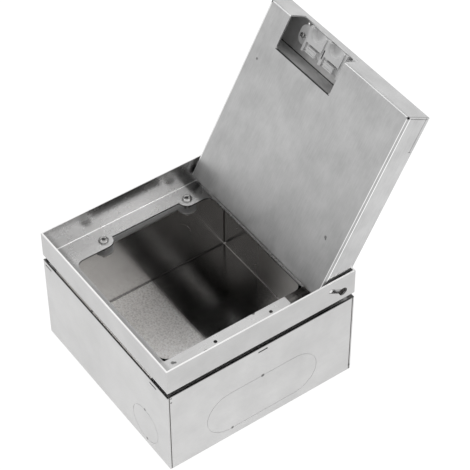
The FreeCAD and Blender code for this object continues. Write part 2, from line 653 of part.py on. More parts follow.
# ---------------------------------------------------------------- lid
def lid_tray():
    """Shallow folded tray for the floor covering, notched for the cords at its free edge."""
    body = lid_body("lid_tray")
    block = draw(body, "XY", "LidBlock")
    rectangle(block, "-" + LID_HALF, LID_HALF, FREE, "0")
    pad(body, block, LID_DEPTH)
    soften(body, "Fillet", "dim.lid_bend", lambda edge: flat_at(edge, 0))
    hollow(body, "dim.lid_sheet")

    # the side walls stop short of the front and rear walls, with relief holes below
    seams = draw(body, "YZ", "LidSeams")
    top = LID_DEPTH + PAST
    rectangle(seams, "-dim.lid_sheet", "-dim.lid_sheet - dim.lid_seam", "dim.lid_bend", top)
    rectangle(seams, BRIDGE_FRONT, BRIDGE_FRONT + " + dim.lid_seam", "dim.lid_bend", top)
    cut(body, seams)
    reliefs = draw(body, "XY", "LidReliefs")
    for sign in SIDES.values():
        disc(reliefs, sign + LID_IN, "-dim.lid_sheet", "dim.relief_width/2")
        disc(reliefs, sign + LID_IN, BRIDGE_FRONT, "dim.relief_width/2")
    cut(body, reliefs, "dim.lid_bend + dim.lid_seam")

    # lowered rear wall, and side walls that slope down to it
    slopes = draw(body, "YZ", "RearSlopes")
    polygon(slopes, [("-dim.rear_chamfer", LID_DEPTH), ("-dim.rear_chamfer", top),
                     ("0" + PAST, top), ("0" + PAST, LID_DEPTH + " - dim.rear_drop"),
                     ("0", LID_DEPTH + " - dim.rear_drop")])
    cut(body, slopes)
    rear = draw(body, "XZ", "RearWall")
    rectangle(rear, "-" + LID_HALF, LID_HALF, LID_DEPTH + " - dim.rear_drop", top)
    cut(body, rear, "dim.lid_sheet")

    # notch through the underside and the front wall, below a strip at the rim
    left = "-dim.outlet_place - dim.notch_width/2"
    right = "-dim.outlet_place + dim.notch_width/2"
    inner = FREE + " + dim.notch_length"
    notch = draw(body, "XY", "Notch")
    rectangle(notch, left, right, FREE + BEFORE, inner)
    cut(body, notch, LID_DEPTH + " - dim.rim_strip")
    corners = [number(left), number(right)]
    depth = number(inner)
    soften(body, "Fillet", "dim.notch_radius",
           lambda edge: any(upright_at(edge, x, depth) for x in corners))

    pin_holes = draw(body, "YZ", "PinHoles")
    disc(pin_holes, "-dim.pin_from_rear", "dim.pin_from_base", "dim.pin_width/2 + dim.press_play")
    cut(body, pin_holes)
    return body


def lid_bridge():
    """Z of sheet across the free end of the lid, with the cord exits in its plate."""
    body = lid_body("lid_bridge_plate")
    half = "(" + LID_IN + " - dim.lid_bend)"
    floor = "dim.lid_sheet"
    plate_top = BRIDGE_LOW + " + dim.lid_sheet"
    foot_end = BRIDGE_BACK + " + dim.lid_sheet + dim.bridge_foot"
    section = draw(body, "YZ", "BridgeSection")
    polygon(section, [(foot_end, floor), (BRIDGE_BACK, floor),
                      (BRIDGE_BACK, BRIDGE_LOW), (BRIDGE_FRONT, BRIDGE_LOW),
                      (BRIDGE_FRONT, plate_top), (BRIDGE_BACK + " + dim.lid_sheet", plate_top),
                      (BRIDGE_BACK + " + dim.lid_sheet", "2*dim.lid_sheet"),
                      (foot_end, "2*dim.lid_sheet")])
    pad(body, section, "2*" + half, both=True)
    outer = [(number(BRIDGE_BACK), number(floor)),
             (number(BRIDGE_BACK + " + dim.lid_sheet"), number(plate_top))]
    inner = [(number(BRIDGE_BACK), number(BRIDGE_LOW)),
             (number(BRIDGE_BACK + " + dim.lid_sheet"), number("2*dim.lid_sheet"))]
    for radius, places in (("dim.bridge_bend", outer),
                           ("dim.bridge_bend - dim.lid_sheet", inner)):
        soften(body, "Fillet", radius,
               lambda edge: any(near(edge.YMin, y) and near(edge.YMax, y)
                                and near(edge.ZMin, z) and near(edge.ZMax, z)
                                for y, z in places))
    cord_exits(body, "Bridge")
    holes = draw(body, "XY", "BridgeHoles")
    for sign in SIDES.values():
        disc(holes, "-dim.outlet_place + " + sign + FIXING_X, FIXING_Y,
             "dim.fixing_width/2 + dim.press_play")
    disc(holes, "-dim.drain_place", BRIDGE_FRONT + " + dim.drain_inset", "dim.drain_width/2")
    cut(body, holes, LID_DEPTH)
    return body


def cord_exits(body, name):
    """Two U-shaped exits, open toward the front wall of the lid."""
    for side, sign in SIDES.items():
        middle = "-dim.outlet_place + " + sign + "dim.exit_pitch/2"
        mouth = draw(body, "XY", name + "Mouth" + side.title())
        rectangle(mouth, middle + " - dim.exit_width/2", middle + " + dim.exit_width/2",
                  BRIDGE_FRONT + BEFORE, EXIT_Y)
        cut(body, mouth, LID_DEPTH)
        end = draw(body, "XY", name + "Exit" + side.title())
        disc(end, middle, EXIT_Y, "dim.exit_width/2")
        cut(body, end, LID_DEPTH)


def cord_outlet():
    """Moulding under the bridge plate: base, ears, and channels between cheeks and divider."""
    body = lid_body("cord_outlet")
    middle = "-dim.outlet_place"
    base = draw(body, "XY", "OutletBase", BASE_LOW)
    rectangle(base, middle + " - " + CHEEK_OUT, middle + " + " + CHEEK_OUT,
              BASE_FRONT, BASE_BACK)
    pad(body, base, "dim.base_thick")
    ears = draw(body, "XY", "OutletEars", BRIDGE_LOW)
    ear_x = CHEEK_OUT + " + dim.ear_reach"
    ear_front = BRIDGE_FRONT + " + dim.ear_inset"
    ear_back = ear_front + " + dim.ear_length"
    rectangle(ears, middle + " - (" + ear_x + ")", middle + " + " + ear_x, ear_front, ear_back)
    pad(body, ears, "dim.ear_thick", flip=True)
    ends = [number(middle + " - (" + ear_x + ")"), number(middle + " + " + ear_x)]
    sides = [number(ear_front), number(ear_back)]
    soften(body, "Fillet", "dim.ear_round",
           lambda edge: any(upright_at(edge, x, y) for x in ends for y in sides))

    # the channels are opened between the cheeks and the divider
    walls = draw(body, "XY", "OutletWalls", BASE_LOW)
    rectangle(walls, middle + " - " + CHEEK_OUT, middle + " + " + CHEEK_OUT,
              BASE_FRONT, BASE_BACK)
    pad(body, walls, "dim.cheek_rise", flip=True)
    for side, sign in SIDES.items():
        unit = middle + " + " + sign + "dim.exit_pitch/2"
        channel = draw(body, "XY", "Channel" + side.title(), CHEEK_LOW)
        rectangle(channel, unit + " - " + CHANNEL, unit + " + " + CHANNEL,
                  BASE_FRONT + BEFORE, BASE_BACK + PAST)
        cut(body, channel, "dim.cheek_rise")
        groove = draw(body, "XY", "Groove" + side.title(), BASE_LOW)
        reach = "(" + CHANNEL + " + dim.tongue_reach)"
        rectangle(groove, unit + " - " + reach, unit + " + " + reach,
                  TONGUE_FRONT + " - dim.channel_play", BASE_BACK + PAST)
        cut(body, groove, "dim.shutter_thick + 2*dim.channel_play", flip=True)
    cord_exits(body, "Outlet")

    top_slot = draw(body, "XY", "DividerSlot", CHEEK_LOW)
    rectangle(top_slot, middle + " - dim.divider_slot/2", middle + " + dim.divider_slot/2",
              FIXING_Y + " - dim.divider_slot_length/2",
              FIXING_Y + " + dim.divider_slot_length/2")
    cut(body, top_slot, "dim.divider_slot_depth")
    for side, sign in SIDES.items():
        place = (middle + " + " + sign + FIXING_X, FIXING_Y)
        bore = draw(body, "XY", "OutletBore" + side.title())
        disc(bore, place[0], place[1], "dim.fixing_width/2 + dim.hole_play")
        cut(body, bore, LID_DEPTH)
        sink = draw(body, "XY", "OutletSink" + side.title(), BRIDGE_LOW + " - dim.ear_thick")
        disc(sink, place[0], place[1], "dim.fixing_head/2 + dim.counterbore_play")
        cut(body, sink, "dim.counterbore_depth")
    return body


def outlet_screws():
    """Two small screws through the ears of the outlet and the bridge plate."""
    body = lid_body("outlet_screws")
    seat = BRIDGE_LOW + " - dim.ear_thick + dim.counterbore_depth"
    heads = draw(body, "XY", "FixingHeads", seat)
    shanks = draw(body, "XY", "FixingShanks", seat)
    for sign in SIDES.values():
        x = "-dim.outlet_place + " + sign + FIXING_X
        disc(heads, x, FIXING_Y, "dim.fixing_head/2")
        disc(shanks, x, FIXING_Y, "dim.fixing_width/2")
    pad(body, heads, "dim.fixing_head_height", flip=True)
    low = number(seat + " - dim.fixing_head_height")
    soften(body, "Chamfer", "dim.fixing_head_height*dim.head_dome",
           lambda edge: flat_at(edge, low))
    pad(body, shanks, "dim.fixing_length")
    return body


def cord_shutter(side):
    """Slide that closes a cord exit: tongued plate, scooped front block, ribbed thumb pad."""
    label = "cord_shutter_" + side
    body = lid_body(label)
    unit = "-dim.outlet_place + " + SIDES[side] + "dim.exit_pitch/2"
    half = "dim.shutter_width/2"
    plate = draw(body, "XY", label + "Plate", PLATE_LOW)
    rectangle(plate, unit + " - " + half, unit + " + " + half, SHUTTER_FRONT, SHUTTER_BACK)
    pad(body, plate, "dim.shutter_thick")
    tongues = draw(body, "XY", label + "Tongues", PLATE_LOW)
    reach = "(dim.shutter_width/2 + dim.tongue_reach)"
    rectangle(tongues, unit + " - " + reach, unit + " + " + reach, TONGUE_FRONT, SHUTTER_BACK)
    pad(body, tongues, "dim.shutter_thick")
    block = draw(body, "XY", label + "Block", PLATE_LOW)
    rectangle(block, unit + " - " + half, unit + " + " + half, SHUTTER_FRONT, BLOCK_BACK)
    pad(body, block, "dim.shutter_rise", flip=True)

    # scoop that leads the cord out, open at the front, with a sloping wall
    crest = PLATE_LOW + " - dim.shutter_rise"
    scoop = draw(body, "XY", label + "Scoop", crest)
    disc(scoop, unit, SHUTTER_FRONT + " + dim.base_inset", "dim.scoop_radius")
    hollowed = cut(body, scoop, "dim.scoop_depth")
    hollowed.setExpression("TaperAngle", "-dim.scoop_slope")

    slot = draw(body, "XY", label + "Slot")
    slot_y = BLOCK_BACK + " + dim.grip_slot_width"
    rectangle(slot, unit + " - dim.grip_slot_length/2", unit + " + dim.grip_slot_length/2",
              slot_y + " - dim.grip_slot_width/2", slot_y + " + dim.grip_slot_width/2")
    cut(body, slot, LID_DEPTH)
    thumb = draw(body, "XY", label + "Thumb", PLATE_LOW)
    rectangle(thumb, unit + " - dim.thumb_width/2", unit + " + dim.thumb_width/2",
              THUMB_FRONT, SHUTTER_BACK)
    pad(body, thumb, "dim.thumb_rise", flip=True)
    grooves = draw(body, "XY", label + "Ribs", PLATE_LOW + " - dim.thumb_rise")
    for share in (1, 3):
        groove_y = "(" + THUMB_FRONT + " + dim.thumb_length*%d/4)" % share
        rectangle(grooves, unit + " - dim.thumb_width/2" + BEFORE,
                  unit + " + dim.thumb_width/2" + PAST,
                  groove_y + " - dim.rib_width/2", groove_y + " + dim.rib_width/2")
    cut(body, grooves, "dim.rib_depth")
    return body


# ---------------------------------------------------------------- the whole part
parts = [back_box()]
parts.append(long_knockout("knockout_right", "0"))
parts.append(long_knockout("knockout_left", "180"))
parts.append(round_knockout("knockout_front", "0"))
parts.append(round_knockout("knockout_back", "180"))
parts.append(cover_frame())
parts.append(press_nuts())
parts.append(levelling_screws())
parts.append(screw_washers())
parts.append(lid_tray())
parts.append(lid_bridge())
parts.append(cord_outlet())
parts.append(outlet_screws())
for hand in SIDES:
    parts.append(bracket(hand))
    parts.append(hinge_bush(hand))
    parts.append(hinge_pin(hand))
    parts.append(cord_shutter(hand))
doc.recompute()

for item in doc.Objects:
    if "Invalid" in item.State or "Error" in item.State:
        raise RuntimeError("failed: " + item.Name)
for part in parts:
    if part.Shape.isNull() or not part.Shape.isValid():
        raise RuntimeError("bad shape: " + part.Label)

os.makedirs("parts", exist_ok=True)
for part in parts:
    part.Shape.exportStep("parts/" + part.Label + ".step")
    print("%-28s %10.1f mm3  %s" % (part.Label, part.Shape.Volume, part.Shape.BoundBox))
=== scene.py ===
"""Floor socket box: stainless back box, cover frame and hinged lid with a shuttered cord outlet.

Everything is in metres in the part's own frame: origin in the middle of the underside of the
back box, +X to the right, +Y to the hinge side, +Z up, with the lid standing open."""
import math

import bmesh
import bpy
from mathutils import Matrix, Vector


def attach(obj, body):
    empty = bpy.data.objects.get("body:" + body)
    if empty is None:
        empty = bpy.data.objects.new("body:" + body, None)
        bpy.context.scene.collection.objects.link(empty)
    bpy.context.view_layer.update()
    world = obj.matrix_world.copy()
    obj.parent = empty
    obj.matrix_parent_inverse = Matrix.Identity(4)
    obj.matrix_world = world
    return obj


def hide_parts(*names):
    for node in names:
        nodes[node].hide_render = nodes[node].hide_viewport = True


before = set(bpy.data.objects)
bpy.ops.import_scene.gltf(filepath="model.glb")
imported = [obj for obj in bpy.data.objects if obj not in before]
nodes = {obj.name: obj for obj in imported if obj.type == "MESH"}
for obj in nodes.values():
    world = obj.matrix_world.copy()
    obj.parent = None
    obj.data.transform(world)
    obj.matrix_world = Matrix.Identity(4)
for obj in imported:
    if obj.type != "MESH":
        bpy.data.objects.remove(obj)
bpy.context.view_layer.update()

# ---------------------------------------------------------------- camera
# A long lens looks down from above the near right corner, so that the window, the inside of the
# box and the lid's cord outlet all show.
camera_azimuth = math.radians(54.66)
camera_height = math.radians(46.01)
camera_roll = math.radians(-0.28)
camera_aim = Vector((-0.02343, 0.05827, 0.1))
camera_distance, camera_reach = 1.7398, 20
lens_mm, sensor_mm = 145.6, 36

camera_back = Vector((math.sin(camera_azimuth) * math.cos(camera_height),
                      -math.cos(camera_azimuth) * math.cos(camera_height),
                      math.sin(camera_height)))
camera = bpy.data.objects.new("camera", bpy.data.cameras.new("camera"))
camera.data.lens = lens_mm
camera.data.sensor_width = sensor_mm
camera.data.clip_end = camera_reach
camera_turn = camera_back.to_track_quat("Z", "Y").to_matrix()
camera_turn = camera_turn @ Matrix.Rotation(camera_roll, 3, "Z")
camera.matrix_world = (Matrix.Translation(camera_aim + camera_back * camera_distance)
                       @ camera_turn.to_4x4())
bpy.context.scene.collection.objects.link(camera)
bpy.context.scene.camera = camera


# ---------------------------------------------------------------- studio
# Pale floor and open white surroundings that metal also mirrors, and two square lamps of the
# same power, one from the left and one from the right.
class Signal:
    """A socket of a material; arithmetic on it adds the Math nodes."""

    def __init__(self, tree, socket=None):
        self.tree = tree
        self.socket = socket

    def node(self, kind, settings=(), sockets=(), out=0):
        """Any other node: its settings, then the values or links of its sockets."""
        made = self.tree.nodes.new(kind)
        for name, value in dict(settings).items():
            setattr(made, name, value)
        for name, value in dict(sockets).items():
            if isinstance(value, Signal):
                self.tree.links.new(value.socket, made.inputs[name])
            else:
                made.inputs[name].default_value = value
        return Signal(self.tree, made.outputs[out])

    def math(self, operation, a, b=0.0):
        return self.node("ShaderNodeMath", {"operation": operation}, {0: a, 1: b})

    def __add__(self, other):
        return self.math("ADD", self, other)

    def __radd__(self, other):
        return self.math("ADD", other, self)

    def __sub__(self, other):
        return self.math("SUBTRACT", self, other)

    def __rsub__(self, other):
        return self.math("SUBTRACT", other, self)

    def __mul__(self, other):
        return self.math("MULTIPLY", self, other)

    def __rmul__(self, other):
        return self.math("MULTIPLY", other, self)


def empty_material(name):
    """A material with only its output, and the signal that its nodes hang on."""
    material = bpy.data.materials.new(name)
    material.use_nodes = True
    material.node_tree.nodes.clear()
    output = material.node_tree.nodes.new("ShaderNodeOutputMaterial")
    return material, Signal(material.node_tree), output


def seen_or_mirrored(start):
    """One for rays from the eye and for those that metal or glass sends on."""
    seen = start.node("ShaderNodeLightPath", out="Is Camera Ray")
    mirrored = start.node("ShaderNodeLightPath", out="Is Glossy Ray")
    passed = start.node("ShaderNodeLightPath", out="Is Transmission Ray")
    return start.math("MAXIMUM", start.math("MAXIMUM", seen, mirrored), passed)


floor_half, floor_grey, floor_glow = 6, 0.3, 0.86
floor_mesh = bpy.data.meshes.new("studio_floor")
floor_mesh.from_pydata([(-floor_half, -floor_half, 0), (floor_half, -floor_half, 0),
                        (floor_half, floor_half, 0), (-floor_half, floor_half, 0)],
                       [], [(0, 1, 2, 3)])
studio_floor = bpy.data.objects.new("studio_floor", floor_mesh)
bpy.context.scene.collection.objects.link(studio_floor)
floor_paper, paper, paper_output = empty_material("floor_paper")
paper_body = paper.node("ShaderNodeBsdfDiffuse", {},
                        {"Color": (floor_grey, floor_grey, floor_grey, 1)})
paper_glow = paper.node("ShaderNodeEmission", {},
                        {"Color": (1, 1, 1, 1), "Strength": floor_glow})
paper_dark = paper.node("ShaderNodeEmission", {}, {"Strength": 0.0})
paper_lift = paper.node("ShaderNodeMixShader", {},
                        {0: seen_or_mirrored(paper), 1: paper_dark, 2: paper_glow})
paper_sum = paper.node("ShaderNodeAddShader", {}, {0: paper_body, 1: paper_lift})
paper.tree.links.new(paper_sum.socket, paper_output.inputs["Surface"])
floor_mesh.materials.append(floor_paper)

# the air is dimmer where it only lights the piece than where it is seen or mirrored
air_hidden = 0.6
world = bpy.data.worlds.new("studio")
bpy.context.scene.world = world
world.use_nodes = True
world.node_tree.nodes.clear()
air = Signal(world.node_tree)
air_level = air_hidden + (1 - air_hidden) * seen_or_mirrored(air)
air_light = air.node("ShaderNodeBackground", {}, {"Color": (1, 1, 1, 1), "Strength": air_level})
world_output = world.node_tree.nodes.new("ShaderNodeOutputWorld")
world.node_tree.links.new(air_light.socket, world_output.inputs["Surface"])

for lamp_name, place, width, power in (("key_lamp", (-1.3, -0.5, 1.9), 0.5, 5),
                                       ("side_lamp", (1.5, 0.9, 1.6), 0.6, 5)):
    lamp = bpy.data.objects.new(lamp_name, bpy.data.lights.new(lamp_name, "AREA"))
    lamp.data.shape = "SQUARE"
    lamp.data.size = width
    lamp.data.energy = power
    lamp.location = place
    lamp.rotation_euler = (Vector(place) - camera_aim).to_track_quat("Z", "Y").to_euler()
    bpy.context.scene.collection.objects.link(lamp)

bpy.context.scene.view_settings.view_transform = "Standard"


# ---------------------------------------------------------------- back box and its knockouts
# One folded sheet of stainless steel with a cold-rolled, faintly clouded skin.  The knockouts are
# laser cut and hang on two links each; small dark marks show at the links and near the edges.
def clouds(start, place, scale, detail=3.0, rough=0.55):
    """Soft uneven patches from 0 to 1, at a number of patches per metre."""
    dark_end, bright_end = 0.3, 0.7
    raw = start.node("ShaderNodeTexNoise", {}, {"Vector": place, "Scale": scale,
                                                "Detail": detail, "Roughness": rough})
    return start.node("ShaderNodeMapRange", {"clamp": True},
                      {"Value": raw, "From Min": dark_end, "From Max": bright_end})


def stretched(start, place, factors, turn=(0, 0, 0)):
    """The place drawn out along each axis, for grain that runs one way."""
    return start.node("ShaderNodeMapping", {"vector_type": "TEXTURE"},
                      {"Vector": place, "Rotation": turn, "Scale": factors})


def between(start, signal, low, high):
    """Zero below low, one above high and smooth between."""
    return start.node("ShaderNodeMapRange", {"interpolation_type": "SMOOTHSTEP"},
                      {"Value": signal, "From Min": low, "From Max": high})


def line_at(start, signal, middle, half):
    """One where the signal lies within a narrow band, fading out at most 1 mm inside it."""
    widest_fade = 0.001
    away = start.math("ABSOLUTE", signal - middle)
    return 1 - between(start, away, max(half / 2, half - widest_fade), half)


def spot(start, place, middle, radius):
    """One inside a small round spot and zero outside."""
    away = start.node("ShaderNodeVectorMath", {"operation": "DISTANCE"},
                      {0: place, 1: middle}, out="Value")
    core = 0.4
    return 1 - between(start, away, radius * core, radius)


def marked(start, shade, place, marks, darker):
    """The level with small dark marks on it, each from its middle and radius."""
    for middle, radius in marks:
        shade = shade * (1 - darker * spot(start, place, middle, radius))
    return shade


def axes(start, place):
    """The three coordinates of a place."""
    return [start.node("ShaderNodeSeparateXYZ", {}, {0: place}, out=i) for i in range(3)]


def tone(start, level, warmth=0.0):
    """A grey of the given level, a little warmer or cooler."""
    return start.node("ShaderNodeCombineColor", {}, {0: level * (1 + warmth), 1: level,
                                                     2: level * (1 - warmth)})


def bare_metal(start, output, colour, roughness, relief, depth):
    """Bare metal from its colour, its roughness and the height and depth of its grain."""
    bump = start.node("ShaderNodeBump", {}, {"Height": relief, "Distance": depth,
                                             "Strength": 1.0})
    surface = start.node("ShaderNodeBsdfPrincipled", {},
                         {"Base Color": colour, "Roughness": roughness, "Metallic": 1.0,
                          "Normal": bump})
    start.tree.links.new(surface.socket, output.inputs["Surface"])


def dress(finish, *names):
    """Gives the named CAD pieces a finish."""
    for name in names:
        nodes[name].data.materials.clear()
        nodes[name].data.materials.append(finish)


def cold_rolled(start, place, level):
    """Clouded level of the sheet's skin and its fine grain, which runs front to back."""
    darkest, patch_gain, drift_gain, grain_gain, grain_length = 0.89, 0.13, 0.09, 0.025, 30
    patches = clouds(start, place, scale=38, detail=4.0, rough=0.6)
    drift = clouds(start, place, scale=12, detail=2.0)
    drawn = stretched(start, place, (1, grain_length, 1))
    fine = clouds(start, drawn, scale=1500, detail=2.0, rough=0.6)
    shade = (level * (darkest + patch_gain * patches + drift_gain * drift)
             + grain_gain * (fine - 0.5))
    return shade, patches, fine


# each pair is where a part of the finish starts and where it is complete, in metres
inner_face, under_floor, floor_skin = (0.09883, 0.09895), (0.0009, 0.0011), (0.0013, 0.0018)
crease_top, crease_side, crease_rear = (0.0012, 0.0026), (0.0968, 0.0982), (0.0966, 0.0976)
floor_border, back_face, box_rim = (0.0075, 0.0155), (0.0984, 0.0988), (0.0988, 0.0996)
back_painted_light_span, back_matt = (-0.06, 0.03), (-0.07, 0.02)
box_marks = (((0.1, 0.0, 0.0611), 0.0024), ((0.1, -0.033, 0.0119), 0.002),
             ((0.0618, -0.1, 0.0471), 0.002), ((0.0633, -0.1, 0.0081), 0.002),
             ((0.1, 0.001, 0.0), 0.0022), ((0.1, -0.0965, 0.092), 0.0013),
             ((0.1, 0.0985, 0.0075), 0.0016), ((0.1, 0.0035, 0.0955), 0.0012),
             ((0.1, -0.0965, 0.0975), 0.0012))
inside_painted_shade, rear_floor_painted_reflection, crease_painted_shade, box_rim_painted_shade = 0.36, 0.24, 0.85, 0.8
front_floor_painted_reflection, back_wall_painted_light, rear_crease_painted_highlight, speckle_depth = 1.3, 1.5, 0.4, 0.4
box_rough, inside_smoother, front_floor_matt, back_wall_matt = 0.33, 0.17, 0.3, 0.45
patch_rough, inside_patch_rough = 0.08, 0.06
steel_warmth, inside_warmth = 0.004, 0.016
skin_relief, inside_relief, front_floor_relief = 0.2, 0.1, 0.9

box_steel, skin, skin_output = empty_material("box_steel")
skin_place = skin.node("ShaderNodeTexCoord", out="Object")
across, along, upward = axes(skin, skin_place)
shade, patches, fine = cold_rolled(skin, skin_place, level=0.6)
speckle = clouds(skin, skin_place, scale=620, detail=2.0, rough=0.5)
# the inside is smoother, and darker with painted shade, and the crease round the edge of the
# floor carries painted shade, with a painted highlight along its rear
wide = skin.math("MAXIMUM", skin.math("ABSOLUTE", across), skin.math("ABSOLUTE", along))
inside = (1 - between(skin, wide, *inner_face)) * between(skin, upward, *under_floor)
floor_part = inside * (1 - between(skin, upward, *floor_skin))
crease = inside * (1 - between(skin, upward, *crease_top)) * between(skin, wide, *crease_side)
rear_crease = crease * between(skin, along, *crease_rear)
shade = (shade * (1 - inside_painted_shade * inside)
         * (1 + speckle_depth * floor_part * (speckle - 0.5)))
# the front of the floor is matt; its brighter front and darker rest are a painted reflection
front_floor = floor_part * (1 - between(skin, along, *floor_border))
shade = shade * (1 - rear_floor_painted_reflection * (floor_part - front_floor)
                 + front_floor_painted_reflection * front_floor)
# the back wall is more matt towards the right, and brighter there with painted light
back_wall = inside * between(skin, along, *back_face)
shade = shade * (1 + back_wall_painted_light * back_wall * between(skin, across, *back_painted_light_span))
# painted shade in the crease round the floor, and a painted highlight along its rear part
shade = shade * (1 - crease_painted_shade * (crease - rear_crease)) + rear_crease_painted_highlight * rear_crease
rough = (box_rough + patch_rough * patches
         - inside * (inside_smoother + inside_patch_rough * patches)
         + front_floor_matt * front_floor)
rough = rough + back_wall_matt * back_wall * between(skin, across, *back_matt)
shade = marked(skin, shade, skin_place, box_marks, darker=0.75)
# painted shade along the top edge of the walls, in the gap under the cover frame
shade = shade * (1 - box_rim_painted_shade * between(skin, upward, *box_rim))
relief = fine * (skin_relief + inside_relief * inside + front_floor_relief * front_floor)
colour = tone(skin, shade, steel_warmth + inside_warmth * inside)
bare_metal(skin, skin_output, colour, rough, relief, depth=0.00004)
dress(box_steel, "back_box_shell", "knockout_right", "knockout_left", "knockout_front",
      "knockout_back")

# ---------------------------------------------------------------- corner welds and kerf film
# A dark bead run down the inside of each open corner closes it against mortar and light, and a
# thin film closes the kerf round each knockout.
weld_half, weld_depth, weld_root, weld_crown = 0.0988, 0.0006, 0.00004, 0.00012
weld_foot, weld_top, weld_steps = 0.0027, 0.0998, 60
seam_width, seam_near, seam_middle, seam_far = 0.001, 0.02, 0.5, 0.98
ripple_height, ripple_turn = 0.00008, 2.1
weld = bmesh.new()
for side in (-1, 1):
    for end in (-1, 1):
        rows = []
        for i in range(weld_steps + 1):
            height = weld_foot + (weld_top - weld_foot) * i / weld_steps
            face = weld_depth + ripple_height * math.cos(i * ripple_turn)
            section = ((weld_root, seam_near), (face, seam_near),
                       (face + weld_crown, seam_middle), (face, seam_far),
                       (weld_root, seam_far))
            rows.append([weld.verts.new((side * (weld_half + out),
                                         end * (weld_half - seam_width * shift), height))
                         for out, shift in section])
        for row, following in zip(rows, rows[1:]):
            for i in range(len(row)):
                after = (i + 1) % len(row)
                weld.faces.new((row[i], row[after], following[after], following[i]))
        weld.faces.new(rows[0])
        weld.faces.new(rows[-1])
bmesh.ops.recalc_face_normals(weld, faces=weld.faces)


def new_piece(name, form, finish):
    """The form as an object with its finish; steep edges stay sharp."""
    sharp_from = math.radians(35)
    mesh = bpy.data.meshes.new(name)
    form.to_mesh(mesh)
    form.free()
    mesh.materials.append(finish)
    mesh.shade_smooth()
    mesh.set_sharp_from_angle(angle=sharp_from)
    piece = bpy.data.objects.new(name, mesh)
    bpy.context.scene.collection.objects.link(piece)
    return piece


# the film round each knockout is flush with the inside of the wall
dross_low, dross_high = 0.0988, 0.0996
kerf_low, kerf_high = 0.00003, 0.00027
long_half, long_round, long_level, long_step = 0.06, 0.02475, 0.0365, 7.5
round_middle, round_radius, round_level, round_step = 0.0618, 0.01975, 0.0275, 6
long_path = []
for middle, first in ((long_half - long_round, -90), (long_round - long_half, 90)):
    for i in range(round(180 / long_step) + 1):
        angle = math.radians(first + long_step * i)
        long_path.append((middle, long_level, long_round, math.cos(angle), math.sin(angle)))
round_path = []
for i in range(round(360 / round_step)):
    angle = math.radians(round_step * i)
    round_path.append((round_middle, round_level, round_radius, math.cos(angle),
                       math.sin(angle)))
dross = bmesh.new()
for path, turn in ((long_path, 0), (long_path, 180), (round_path, -90), (round_path, 90)):
    spin = Matrix.Rotation(math.radians(turn), 3, "Z")
    loop = []
    for middle, level, radius, out_y, out_z in path:
        ring = []
        for inset, depth in ((kerf_low, dross_low), (kerf_high, dross_low),
                             (kerf_high, dross_high), (kerf_low, dross_high)):
            reach = radius - inset
            along_wall = middle + reach * out_y
            ring.append(dross.verts.new(spin @ Vector((depth, along_wall, level + reach * out_z))))
        loop.append(ring)
    for i in range(len(loop)):
        ring, following = loop[i], loop[(i + 1) % len(loop)]
        for j in range(len(ring)):
            after = (j + 1) % len(ring)
            dross.faces.new((ring[j], ring[after], following[after], following[j]))
bmesh.ops.recalc_face_normals(dross, faces=dross.faces)

bead_level, bead_level_gain, bead_rough, bead_rough_gain = 0.14, 0.08, 0.45, 0.1
weld_steel, bead, bead_output = empty_material("weld_steel")
bead_place = bead.node("ShaderNodeTexCoord", out="Object")
bead_scale = clouds(bead, bead_place, scale=900)
bare_metal(bead, bead_output, tone(bead, bead_level + bead_level_gain * bead_scale, warmth=0.05),
           bead_rough + bead_rough_gain * bead_scale, bead_scale, depth=0.00002)
corner_welds = new_piece("corner_welds", weld, weld_steel)
kerf_dross = new_piece("kerf_dross", dross, box_steel)
for piece in (corner_welds, kerf_dross):
    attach(piece, "box")

# ---------------------------------------------------------------- brackets and press nuts
# Strips of the same sheet with tabs in the slots of the walls; the tabs end just behind the outer
# faces, with painted shade on their ends.  The round nuts are plated and pressed in.
tab_end, tab_end_painted_shade, strip_rough, strip_patch_rough = (0.0992, 0.0994), 0.9, 0.44, 0.06
bracket_steel, strip, strip_output = empty_material("bracket_steel")
strip_place = strip.node("ShaderNodeTexCoord", out="Object")
across, along, upward = axes(strip, strip_place)
shade, patches, fine = cold_rolled(strip, strip_place, level=0.62)
wide = strip.math("MAXIMUM", strip.math("ABSOLUTE", across), strip.math("ABSOLUTE", along))
# painted shade on the tab ends, so the slots in the walls show dark
shade = shade * (1 - tab_end_painted_shade * between(strip, wide, *tab_end))
bare_metal(strip, strip_output, tone(strip, shade, steel_warmth),
           strip_rough + strip_patch_rough * patches, fine, depth=0.00001)
dress(bracket_steel, "bracket_left", "bracket_right")


def plated_steel(name, level, rough, warmth=0.012, recesses=()):
    """Turned and plated steel: a fine uneven plating, and painted shade in the recesses where they
    are given.
    """
    darkest, blotch_gain, grain_gain, blotch_rough = 0.9, 0.2, 0.03, 0.08
    material, start, output = empty_material(name)
    place = start.node("ShaderNodeTexCoord", out="Object")
    blotch = clouds(start, place, scale=350)
    fine = clouds(start, place, scale=3000, detail=1.0)
    shade = level * (darkest + blotch_gain * blotch) + grain_gain * (fine - 0.5)
    shade = marked(start, shade, place, recesses, darker=0.85)
    bare_metal(start, output, tone(start, shade, warmth), rough + blotch_rough * (blotch - 0.5),
               fine, depth=0.000006)
    return material


nut_plating = plated_steel("nut_plating", level=0.85, rough=0.26)
dress(nut_plating, "press_nuts")

